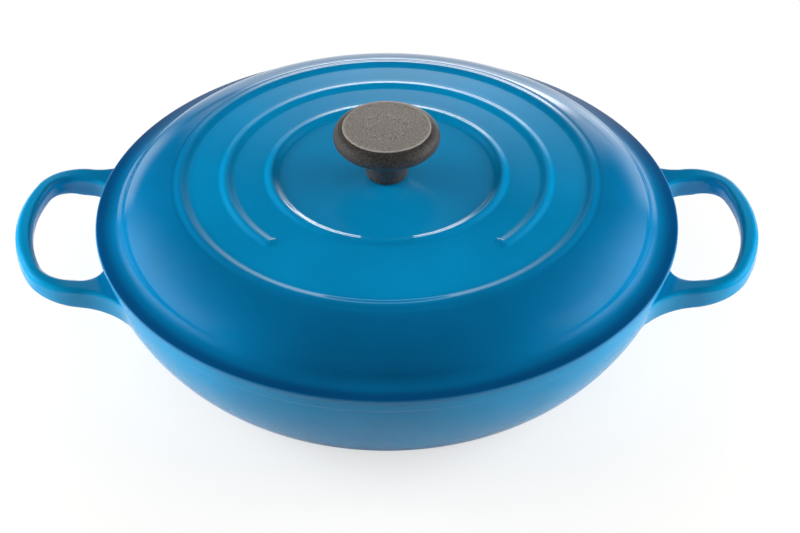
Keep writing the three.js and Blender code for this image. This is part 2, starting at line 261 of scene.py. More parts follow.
@dataclass
class Skin:
    """Closed faces over points, with a finish for each face."""

    points: Array
    quads: Array
    triangles: Array
    quad_zones: Array
    triangle_zones: Array

    @classmethod
    def of_grid(cls, grid: Array, zones: Array, closed: bool = False) -> "Skin":
        """Faces of a grid whose rows close round on themselves.

        Where the first or last column is one point, its quads become triangles round that pole.

        Args:
            grid: Row by column by (x, y, z).
            zones: Finish of each step between two columns.
            closed: Whether the last column also joins the first.

        Returns:
            The skin, with its faces pointing outwards.
        """
        rows, columns = grid.shape[:2]
        ids = np.arange(rows * columns).reshape(rows, columns)
        for end in (0, -1):
            if not closed and np.ptp(grid[:, end], axis=0).max() < SAME_POINT:
                ids[:, end] = ids[0, end]
        if closed:
            ids = np.column_stack([ids, ids[:, 0]])
        after = np.roll(ids, -1, axis=0)
        corners = np.stack([ids[:, :-1], after[:, :-1], after[:, 1:], ids[:, 1:]], axis=2)
        face_zones = np.broadcast_to(zones, corners.shape[:2]).reshape(-1)
        corners = corners.reshape(-1, 4)
        first_pole = corners[:, 0] == corners[:, 1]
        last_pole = corners[:, 2] == corners[:, 3]
        whole = ~(first_pole | last_pole)
        triangles = np.vstack([corners[first_pole][:, [0, 2, 3]], corners[last_pole][:, [0, 1, 2]]])
        triangle_zones = np.concatenate([face_zones[first_pole], face_zones[last_pole]])
        skin = cls(grid.reshape(-1, 3), corners[whole], triangles, face_zones[whole], triangle_zones)
        return skin.compacted().outwards()

    def compacted(self) -> "Skin":
        """The same faces over only those points that they use.

        Returns:
            A skin without unused points.
        """
        corners = np.concatenate([self.quads.ravel(), self.triangles.ravel()])
        used, places = np.unique(corners, return_inverse=True)
        split = self.quads.size
        quads = places[:split].reshape(-1, 4)
        triangles = places[split:].reshape(-1, 3)
        return Skin(self.points[used], quads, triangles, self.quad_zones, self.triangle_zones)

    def outwards(self) -> "Skin":
        """The skin with every face turned, if its signed volume is negative.

        Returns:
            A skin whose faces point outwards.
        """
        halves = np.vstack([self.quads[:, [0, 1, 2]], self.quads[:, [0, 2, 3]], self.triangles])
        a, b, c = (self.points[halves[:, i]] for i in range(3))
        if np.einsum("ij,ij->", a, np.cross(b, c)) >= 0.0:
            return self
        quads, triangles = self.quads[:, ::-1], self.triangles[:, ::-1]
        return Skin(self.points, quads, triangles, self.quad_zones, self.triangle_zones)

    def joined(self, other: "Skin") -> "Skin":
        """Two skins as one.

        Args:
            other: The skin whose faces are added.

        Returns:
            A skin with the points and faces of both.
        """
        offset = len(self.points)
        return Skin(
            np.vstack([self.points, other.points]),
            np.vstack([self.quads, other.quads + offset]),
            np.vstack([self.triangles, other.triangles + offset]),
            np.concatenate([self.quad_zones, other.quad_zones]),
            np.concatenate([self.triangle_zones, other.triangle_zones]),
        )

    def half_turned(self) -> "Skin":
        """The skin turned half round Z."""
        points = self.points * np.array([-1.0, -1.0, 1.0])
        return Skin(points, self.quads, self.triangles, self.quad_zones, self.triangle_zones)

    def to_object(self, name: str, materials: list[bpy.types.Material]) -> bpy.types.Object:
        """Puts the skin into the scene as one smooth-shaded mesh object, in metres.

        Args:
            name: The piece's name.
            materials: One material for each finish number.

        Returns:
            The new object, at the origin.
        """
        mesh = bpy.data.meshes.new(name)
        loops = np.concatenate([self.quads.ravel(), self.triangles.ravel()])
        totals = np.concatenate([np.full(len(self.quads), 4), np.full(len(self.triangles), 3)])
        starts = np.concatenate([[0], np.cumsum(totals)[:-1]])
        mesh.vertices.add(len(self.points))
        mesh.loops.add(len(loops))
        mesh.polygons.add(len(totals))
        mesh.vertices.foreach_set("co", (self.points * MM).ravel())
        mesh.loops.foreach_set("vertex_index", loops)
        mesh.polygons.foreach_set("loop_start", starts)
        mesh.polygons.foreach_set("loop_total", totals)
        for material in materials:
            mesh.materials.append(material)
        zones = np.concatenate([self.quad_zones, self.triangle_zones])
        mesh.polygons.foreach_set("material_index", zones)
        mesh.polygons.foreach_set("use_smooth", np.ones(len(totals), bool))
        mesh.update()
        mesh.validate()
        return add_object(name, mesh)


def linear(colour: str) -> tuple[float, float, float, float]:
    """An sRGB hex colour as linear red, green, blue and alpha.

    Args:
        colour: Six hex digits after a hash.

    Returns:
        The colour as a shader socket takes it.
    """
    shares = np.array([int(colour[i : i + 2], 16) for i in (1, 3, 5)]) / 255.0
    values = np.where(shares <= 0.04045, shares / 12.92, ((shares + 0.055) / 1.055) ** 2.4)
    return (*values.tolist(), 1.0)


def add_node(
    tree: bpy.types.NodeTree, kind: str, inputs: dict[str | int, object] | None = None, **settings: object
) -> bpy.types.Node:
    """Adds one node with its settings, constants and links.

    Args:
        tree: The tree that gets the node.
        kind: The node's type.
        inputs: Input by name or number, each a constant or the socket that feeds it.
        **settings: The node's own properties.

    Returns:
        The new node.
    """
    node = tree.nodes.new(kind)
    for name, value in settings.items():
        setattr(node, name, value)
    for name, value in (inputs or {}).items():
        if isinstance(value, Socket):
            tree.links.new(value, node.inputs[name])
        else:
            node.inputs[name].default_value = value
    return node


def empty_tree(owner: bpy.types.Material | bpy.types.World) -> bpy.types.NodeTree:
    """Switches a material or a world to nodes and empties its tree.

    Args:
        owner: The material or the world.

    Returns:
        The empty tree.
    """
    owner.use_nodes = True
    owner.node_tree.nodes.clear()
    return owner.node_tree


def new_material(name: str) -> tuple[bpy.types.Material, bpy.types.NodeTree, Socket]:
    """An empty node material.

    Args:
        name: The material's name.

    Returns:
        The material, its tree and its Object coordinates.
    """
    material = bpy.data.materials.new(name)
    tree = empty_tree(material)
    return material, tree, add_node(tree, "ShaderNodeTexCoord").outputs["Object"]


def grain_scale(size: float) -> float:
    """Noise scale per metre that gives features of a size in millimetres."""
    return 1.0 / (size * MM)


def close_material(
    tree: bpy.types.NodeTree, height: Socket, depth: float, look: dict[str, object], strength: float = 1.0
) -> None:
    """Ends a material: a bump of a real depth under one shader, which leads to the output.

    Args:
        tree: The material's tree.
        height: What the bump follows.
        depth: The bump's depth in millimetres.
        look: The shader's colour, roughness and other inputs.
        strength: The bump's strength.
    """
    bump = add_node(tree, "ShaderNodeBump", {"Strength": strength, "Distance": depth * MM, "Height": height})
    shader = add_node(tree, "ShaderNodeBsdfPrincipled", {**look, "Normal": bump.outputs[0]})
    add_node(tree, "ShaderNodeOutputMaterial", {"Surface": shader.outputs[0]})


@dataclass(frozen=True)
class VitreousEnamel:
    """Glossy coloured glass fused to cast iron, sprayed on in coats that shade from one blue to another. The
    two darker grades towards the rim are deepened further as painted shade on the lid's outer slope.

    The eye sees a deep, even colour under a hard wet gloss that is faintly rippled like a glaze. The outermost
    edge is painted paler as a painted highlight.
    """

    name: str
    colour: str
    dome_grade_and_shade_colour: str
    edge_grade_and_shade_colour: str
    painted_highlight_colour: str
    dome: tuple[float, float] = (100.0, 118.0)
    edge: tuple[float, float] = (146.5, 152.5)
    # Radius span of the painted highlight on the flange's outer edge.
    painted_highlight_reach: tuple[float, float] = (154.7, 155.4)
    roughness: float = 0.07
    ripple: float = 9.0
    ripple_depth: float = 0.004
    cloud: float = 70.0
    cloud_share: float = 0.10
    cloud_range: tuple[float, float] = (0.3, 0.7)

    def material(self) -> bpy.types.Material:
        """The enamel, graded by distance from the axis, with painted shade in its darker outer grades and a
        painted highlight at the outermost edge.

        Returns:
            The new material.
        """
        material, tree, place = new_material(self.name)
        flat = add_node(tree, "ShaderNodeVectorMath", {0: place, 1: (1.0, 1.0, 0.0)}, operation="MULTIPLY")
        radius = add_node(tree, "ShaderNodeVectorMath", {0: flat.outputs[0]}, operation="LENGTH")
        shade: Socket | tuple[float, ...] = linear(self.colour)
        # Grades outward from the axis: two darker blues, partly the enamel's own grade and partly painted shade
        # on the outer slope, then a paler blue as a painted highlight on the flange's edge.
        grades = (self.dome, self.dome_grade_and_shade_colour), (self.edge, self.edge_grade_and_shade_colour), (self.painted_highlight_reach, self.painted_highlight_colour)
        for (start, end), colour in grades:
            reach = {0: radius.outputs["Value"], 1: start * MM, 2: end * MM}
            share = add_node(tree, "ShaderNodeMapRange", reach, interpolation_type="SMOOTHSTEP")
            blend = {0: share.outputs[0], 6: shade, 7: linear(colour)}
            shade = add_node(tree, "ShaderNodeMix", blend, data_type="RGBA").outputs[2]
        cloud = add_node(
            tree, "ShaderNodeTexNoise", {"Vector": place, "Scale": grain_scale(self.cloud), "Detail": 3.0}
        )
        low, high = self.cloud_range
        light = add_node(
            tree,
            "ShaderNodeMapRange",
            {0: cloud.outputs["Fac"], 1: low, 2: high, 3: 1.0 - self.cloud_share, 4: 1.0 + self.cloud_share},
        )
        tinted = add_node(tree, "ShaderNodeVectorMath", {0: shade, 1: light.outputs[0]}, operation="MULTIPLY")
        ripple = add_node(
            tree, "ShaderNodeTexNoise", {"Vector": place, "Scale": grain_scale(self.ripple), "Detail": 1.0}
        )
        look = {"Base Color": tinted.outputs[0], "Roughness": self.roughness, "IOR": GLASS_IOR}
        close_material(tree, ripple.outputs["Fac"], self.ripple_depth, look)
        return material


@dataclass(frozen=True)
class SpeckledEnamel:
    """Fired enamel with fine specks, drawn coarser than real ones so that they show.

    The eye sees a pale glossy glaze inside the pan, or a dark matt ground coat on the rim.
    """

    name: str
    colour: str
    speck_colour: str
    roughness: float
    speck: float = 1.1
    speck_range: tuple[float, float] = (0.58, 0.72)
    speck_share: float = 0.35
    ripple: float = 4.4
    ripple_depth: float = 0.01

    def material(self) -> bpy.types.Material:
        """The enamel, with specks and a slight ripple.

        Returns:
            The new material.
        """
        material, tree, place = new_material(self.name)
        specks = add_node(
            tree, "ShaderNodeTexNoise", {"Vector": place, "Scale": grain_scale(self.speck), "Detail": 2.0}
        )
        low, high = self.speck_range
        reach = {0: specks.outputs["Fac"], 1: low, 2: high, 4: self.speck_share}
        amount = add_node(tree, "ShaderNodeMapRange", reach)
        blend = {0: amount.outputs[0], 6: linear(self.colour), 7: linear(self.speck_colour)}
        tinted = add_node(tree, "ShaderNodeMix", blend, data_type="RGBA")
        ripple = add_node(
            tree, "ShaderNodeTexNoise", {"Vector": place, "Scale": grain_scale(self.ripple), "Detail": 2.0}
        )
        look = {"Base Color": tinted.outputs[2], "Roughness": self.roughness, "IOR": GLASS_IOR}
        close_material(tree, ripple.outputs["Fac"], self.ripple_depth, look)
        return material


@dataclass(frozen=True)
class MouldedPhenolic:
    """Filled phenolic resin, pressed in a blasted mould.

    The eye sees a dull warm grey-black with pale and dark mineral flecks and a soft sheen. The flecks are
    drawn coarser than real filler so that they show.
    """

    name: str
    colour: str
    pale_colour: str
    dark_colour: str
    roughness: float
    fleck: float
    grain_depth: float
    grain_strength: float = 0.8
    pale_range: tuple[float, float] = (0.50, 0.64)
    dark_range: tuple[float, float] = (0.50, 0.36)

    def material(self) -> bpy.types.Material:
        """The resin, with pale and dark flecks and a blasted grain.

        Returns:
            The new material.
        """
        material, tree, place = new_material(self.name)
        flecks = add_node(
            tree, "ShaderNodeTexNoise", {"Vector": place, "Scale": grain_scale(self.fleck), "Detail": 4.0}
        ).outputs["Fac"]
        shade: Socket | tuple[float, ...] = linear(self.colour)
        grades = (self.pale_range, self.pale_colour), (self.dark_range, self.dark_colour)
        for (start, end), colour in grades:
            share = add_node(tree, "ShaderNodeMapRange", {0: flecks, 1: start, 2: end})
            blend = {0: share.outputs[0], 6: shade, 7: linear(colour)}
            shade = add_node(tree, "ShaderNodeMix", blend, data_type="RGBA").outputs[2]
        look = {"Base Color": shade, "Roughness": self.roughness, "IOR": RESIN_IOR}
        close_material(tree, flecks, self.grain_depth, look, self.grain_strength)
        return material


@dataclass(frozen=True)
class TurnedMetal:
    """Metal cut on a lathe: bright, with rings left by the tool, drawn coarser than real ones to show."""

    name: str
    colour: str
    groove_colour: str
    roughness: float
    tool_mark: float = 0.5
    groove_depth: float = 0.005
    groove_strength: float = 0.5

    def material(self) -> bpy.types.Material:
        """The metal, with rings about the axis.

        Returns:
            The new material.
        """
        material, tree, place = new_material(self.name)
        scale = grain_scale(self.tool_mark) / WAVE_FACTOR
        rings = add_node(
            tree,
            "ShaderNodeTexWave",
            {"Vector": place, "Scale": scale, "Distortion": 1.5, "Detail": 2.0},
            wave_type="RINGS",
            rings_direction="Z",
        ).outputs["Fac"]
        blend = {0: rings, 6: linear(self.colour), 7: linear(self.groove_colour)}
        tinted = add_node(tree, "ShaderNodeMix", blend, data_type="RGBA")
        look = {"Base Color": tinted.outputs[2], "Metallic": 1.0, "Roughness": self.roughness}
        close_material(tree, rings, self.groove_depth, look, self.groove_strength)
        return material


BLUE = "#028abe"
# Lid grades: the deep blue and the navy are partly the enamel's own grade and partly painted shade on the lid's
# outer slope.
DEEP_BLUE_GRADE_AND_SHADE = "#026897"
NAVY_GRADE_AND_SHADE = "#024a7a"
POT_BLUE = "#0483b2"
# Paler blue on the lid flange's outer edge, a painted highlight.
PAINTED_HIGHLIGHT_BLUE = "#2576a3"
POT_ENAMEL = VitreousEnamel("blue_vitreous_enamel_pot", POT_BLUE, POT_BLUE, POT_BLUE, POT_BLUE)
LID_ENAMEL = VitreousEnamel("blue_vitreous_enamel_lid", BLUE, DEEP_BLUE_GRADE_AND_SHADE, NAVY_GRADE_AND_SHADE, PAINTED_HIGHLIGHT_BLUE)
SAND_ENAMEL = SpeckledEnamel("sand_enamel_inside", "#e4d9c2", "#a58f70", 0.14)
RIM_ENAMEL = SpeckledEnamel("matt_ground_enamel_rim", "#2a2e33", "#565b60", 0.5)
# One phenolic in three tones: the side is painted dark as shade, the top pale as light from above.
PHENOLIC_SHADED_SIDE = MouldedPhenolic("phenolic_smooth_painted_shade", "#3c3936", "#504b47", "#2b2826", 0.42, 0.9, 0.015)
PHENOLIC_LIT_TOP = MouldedPhenolic("phenolic_blasted_painted_light", "#7f7770", "#ada59d", "#565049", 0.6, 0.45, 0.05)
# Paler tone on the knob's raised edge, a painted highlight.
PHENOLIC_EDGE_HIGHLIGHT = MouldedPhenolic("phenolic_painted_edge_highlight", "#958c84", "#a39a92", "#857c75", 0.5, 0.9, 0.015)
BRASS = TurnedMetal("brass_turned", "#c9a45a", "#a98543", 0.3)
STAINLESS = TurnedMetal("stainless_steel_rolled", "#c9ccd0", "#b2b5b9", 0.28)


def place_piece(
    skin: Skin, name: str, materials: list[bpy.types.Material], body: str, node: str
) -> None:
    """Makes a finished piece on its body, in place of its CAD node, and reports it.

    Args:
        skin: The piece's surface.
        name: The piece's name.
        materials: One material for each finish number.
        body: The CAD body that it moves with.
        node: The CAD node that it stands for.
    """
    piece = skin.to_object(name, materials)
    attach(piece, body)
    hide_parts(node)
    log.info("%s: %d faces on body %s", piece.name, len(piece.data.polygons), body)


@dataclass
class Bowl:
    """The shallow bowl without its handles."""

    height: float = 66.8
    wall: float = 3.8
    wall_radius: float = 152.8
    base_radius: float = 99.6
    base_thickness: float = 4.6
    upright_lead: float = 17.4
    base_lead: float = 27.0
    band_height: float = 4.8
    band_step: float = 0.8
    rim_round: float = 1.0
    outer_steps: int = 56
    inner_steps: int = 48
    samples: int = 400

    @property
    def band_foot(self) -> float:
        """Height of the foot of the rim's band."""
        return self.height - self.band_height

    def wall_curve(self, inset: float, floor: float, count: int) -> Array:
        """Points up the wall, from its base to just under the band.

        Args:
            inset: Distance inside the outer wall.
            floor: Height where the curve starts.
            count: Number of points.

        Returns:
            A cubic that leaves the base level and comes upright under the band.
        """
        foot = (self.base_radius - inset, floor)
        top = (self.wall_radius - inset, self.band_foot - self.band_step)
        return curve(foot, (self.base_lead, 0.0), (0.0, -self.upright_lead), top, count)

    def radius_at(self, heights: Array) -> Array:
        """Radius of the outer wall at some heights, read off the wall's curve."""
        wall = self.wall_curve(0.0, 0.0, self.samples)
        return np.interp(heights, wall[:, 1], wall[:, 0])

    def profile(self) -> Profile:
        """The bowl's outline: out under the base, up the wall, over the rim and down the inside.

        Returns:
            The outline, with its finishes.
        """
        outside, rim, inside = CastingZone
        band_radius = self.wall_radius + self.band_step
        mouth = self.wall_radius - self.wall
        top, shoulder = self.height, self.height - self.rim_round
        brow, lip = band_radius - self.rim_round, mouth + self.rim_round
        made = Profile()
        made.run(line((0.0, 0.0), (self.base_radius, 0.0), 8), outside)
        made.run(self.wall_curve(0.0, 0.0, self.outer_steps), outside)
        made.run(arc((self.wall_radius, self.band_foot), self.band_step, -90.0, 0.0, 6), outside)
        made.run(line((band_radius, self.band_foot), (band_radius, shoulder), 3), outside)
        made.run(arc((brow, shoulder), self.rim_round, 0.0, 90.0, 7), outside)
        made.run(line((brow, top), (lip, top), 3), rim)
        made.run(arc((lip, shoulder), self.rim_round, 90.0, 180.0, 7), rim)
        inner = self.wall_curve(self.wall, self.base_thickness, self.inner_steps)[::-1]
        made.run(line((mouth, shoulder), (inner[0, 0], inner[0, 1]), 3), inside)
        made.run(inner, inside)
        made.run(line(made.end, (0.0, self.base_thickness), 8), inside)
        return made


@dataclass(frozen=True)
class LoopSide:
    """One plan outline of a loop handle.

    A root arc leaves the wall along it, a straight arm follows, and a corner arc tangent to the arm and
    to the end arc leads to the tip. Flare 1 spreads the root away from the loop's middle, -1 towards it.
    """

    tip: float
    half: float
    root: float
    straight: float
    end: float
    flare: int

    def plan(self, rim: Array, drawn_rim: float, stretch: Array, share: Array, sign: Array) -> Array:
        """Plan points of the outline, for a wall of any radius.

        Args:
            rim: Radius of the wall that the root arc is tangent to, for each point.
            drawn_rim: The radius for which the straight arm has its drawn length.
            stretch: Which stretch each row of points lies on.
            share: How far along that stretch.
            sign: 1 on the half at +Y, -1 on the other.

        Returns:
            Array of row by column by (x, y).
        """
        root_y = self.half + self.flare * self.root
        root_x = np.sqrt((rim + self.root) ** 2 - root_y**2)
        arm_x = math.sqrt((drawn_rim + self.root) ** 2 - root_y**2) + self.straight
        end_x = self.tip - self.end
        corner = (self.end**2 - self.half**2 - (arm_x - end_x) ** 2) / (2.0 * (self.end - self.half))
        corner_y = self.half - corner
        end_angle = math.atan2(corner_y, arm_x - end_x)
        rim_angle = math.pi + np.arctan2(root_y, root_x)
        arm_angle = math.pi + self.flare * math.pi / 2.0
        turn = rim_angle + (arm_angle - rim_angle) * share
        bend = math.pi / 2.0 + (end_angle - math.pi / 2.0) * share
        tilt = end_angle * (1.0 - share)
        cases = [stretch == kind for kind in Stretch]
        x_values = [
            root_x + self.root * np.cos(turn),
            root_x + (arm_x - root_x) * share,
            arm_x + corner * np.cos(bend),
            end_x + self.end * np.cos(tilt),
        ]
        y_values = [
            root_y + self.root * np.sin(turn),
            self.half,
            corner_y + corner * np.sin(bend),
            self.end * np.sin(tilt),
        ]
        return np.stack([np.select(cases, x_values), sign * np.select(cases, y_values)], axis=2)


@dataclass
class LoopHandle:
    """A loop handle cast in one with the bowl: crisp flat roots that soften to a rounded grip."""

    bowl: Bowl
    reach: float = 46.18
    half_length: float = 55.5
    bar: float = 9.6
    arm: float = 11.0
    arm_thickness: float = 13.8
    tip_thickness: float = 9.8
    drop: float = 6.8
    rise: float = 5.0
    outer_root: float = 28.0
    outer_straight: float = 4.8
    outer_end: float = 92.0
    inner_root: float = 13.3
    inner_straight: float = 6.0
    inner_end: float = 96.0
    under_root: float = 5.0
    edge_at_root: float = 1.6
    edge_at_tip: float = 3.6
    most_edge: float = 0.46
    drawn_overlap: float = 1.0
    overlap: float = 0.12
    crowding: float = 1.6
    steps: tuple[int, ...] = (40, 10, 22, 18)
    round_steps: int = 9
    side_steps: int = 6

    def stations(self) -> tuple[Array, Array, Array]:
        """Stretch, share and side of every section, from the root at +Y round the tip to the root at -Y.

        Shares on the root arc grow with a power, so sections crowd where the arc meets the wall.

        Returns:
            Three columns, with one row for each section.
        """
        stretch = np.concatenate([np.full(count, int(kind)) for kind, count in zip(Stretch, self.steps)])
        share = np.concatenate([np.arange(count) / count for count in self.steps])
        share = np.where(stretch == Stretch.ROOT, share**self.crowding, share)
        stretch = np.concatenate([stretch, [int(Stretch.END)], stretch[::-1]])
        share = np.concatenate([share, [1.0], share[::-1]])
        sign = np.concatenate([np.ones(sum(self.steps) + 1), -np.ones(sum(self.steps))])
        return stretch[:, None], share[:, None], sign[:, None]

    def outlines(self, heights: Array) -> tuple[Array, Array]:
        """Inner and outer plan points for sections, tangent to the wall at each height.

        Args:
            heights: Height of every point of every section.

        Returns:
            The inner and the outer outline, each of section by point by (x, y).
        """
        tip = self.bowl.wall_radius + self.reach
        outer = LoopSide(tip, self.half_length, self.outer_root, self.outer_straight, self.outer_end, 1)
        inner_half = self.half_length - self.arm
        inner = LoopSide(tip - self.bar, inner_half, self.inner_root, self.inner_straight, self.inner_end, -1)
        rim = self.bowl.radius_at(heights) - self.overlap
        drawn = self.bowl.wall_radius - self.drawn_overlap
        place = (rim, drawn, *self.stations())
        return inner.plan(*place), outer.plan(*place)

    def section(
        self, width: Array, bottom: Array, top: Array, upper: Array, lower: Array
    ) -> tuple[Array, Array]:
        """Rounded rectangles: quarter circles at four corners, joined by straight sides.

        Args:
            width: Width of each section.
            bottom: Height of each section's underside.
            top: Height of each section's top.
            upper: Radius of the two upper edges.
            lower: Radius of the two lower edges.

        Returns:
            Distance across and height of the points round each section.
        """
        angle = np.radians(np.linspace(0.0, 90.0, self.round_steps))
        centres = [
            (width - upper, top - upper, upper),
            (upper, top - upper, upper),
            (lower, bottom + lower, lower),
            (width - lower, bottom + lower, lower),
        ]
        corners = []
        for i, (across, height, radius) in enumerate(centres):
            turn = angle + i * math.pi / 2.0
            corners.append(np.stack([across + radius * np.cos(turn), height + radius * np.sin(turn)], axis=2))
        share = np.linspace(0.0, 1.0, self.side_steps + 2)[1:-1][None, :, None]
        runs = []
        for corner, after in zip(corners, corners[1:] + corners[:1]):
            runs += [corner, corner[:, -1:] * (1.0 - share) + after[:, :1] * share]
        around = np.concatenate(runs, axis=1)
        return around[:, :, 0], around[:, :, 1]

    def fillet(self, distance: Array) -> Array:
        """Drop of a quarter-circle fillet under the root, at a distance from the wall."""
        left = np.clip(self.under_root - distance, 0.0, self.under_root)
        return self.under_root - np.sqrt(self.under_root**2 - left**2)

    def skin(self) -> Skin:
        """The handle on the +X side.

        Each point lies between the two outlines by its share of the section's width. Points are lowered
        towards the underside by the fillet, and every outline follows the wall at the point's own height.

        Returns:
            The closed skin, with both ends just inside the bowl's wall.
        """
        drawn = np.full((sum(self.steps) * 2 + 1, 1), self.bowl.height - self.drop)
        inner, outer = self.outlines(drawn)
        middle = np.linalg.norm((inner + outer) / 2.0, axis=2) - self.bowl.wall_radius
        out = np.clip(middle / self.reach, 0.0, 1.0)
        width = np.linalg.norm(outer - inner, axis=2)
        top = drawn + self.rise * out
        bottom = top - (self.arm_thickness + (self.tip_thickness - self.arm_thickness) * out)
        edge = self.edge_at_root + (self.edge_at_tip - self.edge_at_root) * out
        most = np.minimum(width, top - bottom) * self.most_edge
        lower = np.minimum(edge + self.fillet(middle), most)
        across, heights = self.section(width, bottom, top, np.minimum(edge, most), lower)
        share = (across / width)[:, :, None]
        inner, outer = self.outlines(heights)
        distance = np.linalg.norm(inner + (outer - inner) * share, axis=2) - self.bowl.radius_at(heights)
        heights = heights - (top - heights) / (top - bottom) * self.fillet(distance)
        inner, outer = self.outlines(heights)
        grid = np.concatenate([inner + (outer - inner) * share, heights[:, :, None]], axis=2)
        caps = [grid[end].mean(axis=0) for end in (0, -1)]
        whole = np.concatenate([np.broadcast_to(caps[0], grid[:1].shape), grid], axis=0)
        whole = np.concatenate([whole, np.broadcast_to(caps[1], grid[:1].shape)], axis=0)
        return Skin.of_grid(whole.transpose(1, 0, 2), np.full(len(whole) - 1, int(CastingZone.OUTSIDE)))


@dataclass
class Pot:
    """The bowl's casting with both handles."""

    bowl: Bowl = field(default_factory=Bowl)
    turn_steps: int = 240

    def build(self) -> None:
        """Builds, dresses and places the casting."""
        profile = self.bowl.profile()
        skin = Skin.of_grid(profile.turned(turn_angles(self.turn_steps)), profile.zones)
        handle = LoopHandle(self.bowl).skin()
        skin = skin.joined(handle).joined(handle.half_turned())
        materials = [POT_ENAMEL.material(), RIM_ENAMEL.material(), SAND_ENAMEL.material()]
        place_piece(skin, "pot_casting", materials, "pot", "pot")


